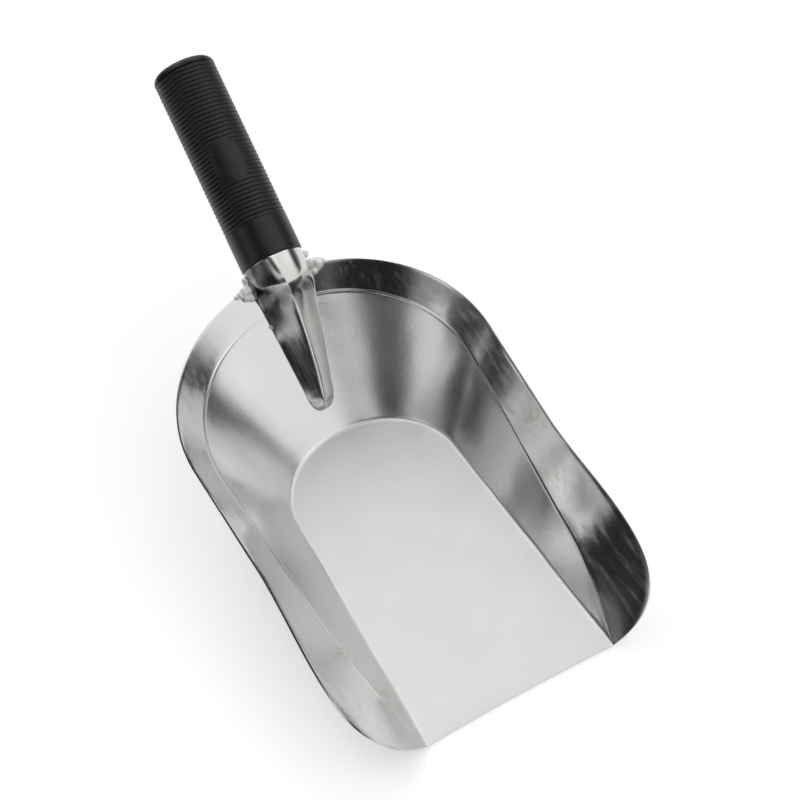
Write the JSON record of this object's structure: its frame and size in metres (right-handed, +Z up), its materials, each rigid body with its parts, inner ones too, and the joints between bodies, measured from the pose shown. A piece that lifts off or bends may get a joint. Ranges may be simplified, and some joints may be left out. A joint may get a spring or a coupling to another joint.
{
  "type": "grain scoop shovel",
  "caption": "Hand scoop with a flat-floored pressed stainless pan, flared rounded ears at the mouth, a tapered welded socket on the back wall and a ribbed black rubber grip.",
  "frame": {"origin": "middle of the bounding box, at the underside of the pan's floor", "axes": "+Z up from the floor, -Y out of the mouth, +Y towards the grip, X across the pan"},
  "size_m": [0.1324, 0.2868, 0.1244],
  "materials": {
    "stainless_sheet": "bright rolled stainless sheet with fine scratches",
    "steel_tube": "plain drawn steel, hidden inside the grip",
    "weld_metal": "lumpy bright weld beads",
    "black_rubber": "matt moulded rubber with fine rounded ribs"
  },
  "bodies": {
    "root": {"pan": "stainless_sheet", "socket_inner_shell": "stainless_sheet", "socket_outer_shell": "stainless_sheet", "handle_tube": "steel_tube", "grip": "black_rubber", "rim_weld_left": "weld_metal", "rim_weld_right": "weld_metal", "tack_weld_left": "weld_metal", "tack_weld_right": "weld_metal"}
  },
  "joints": []
}
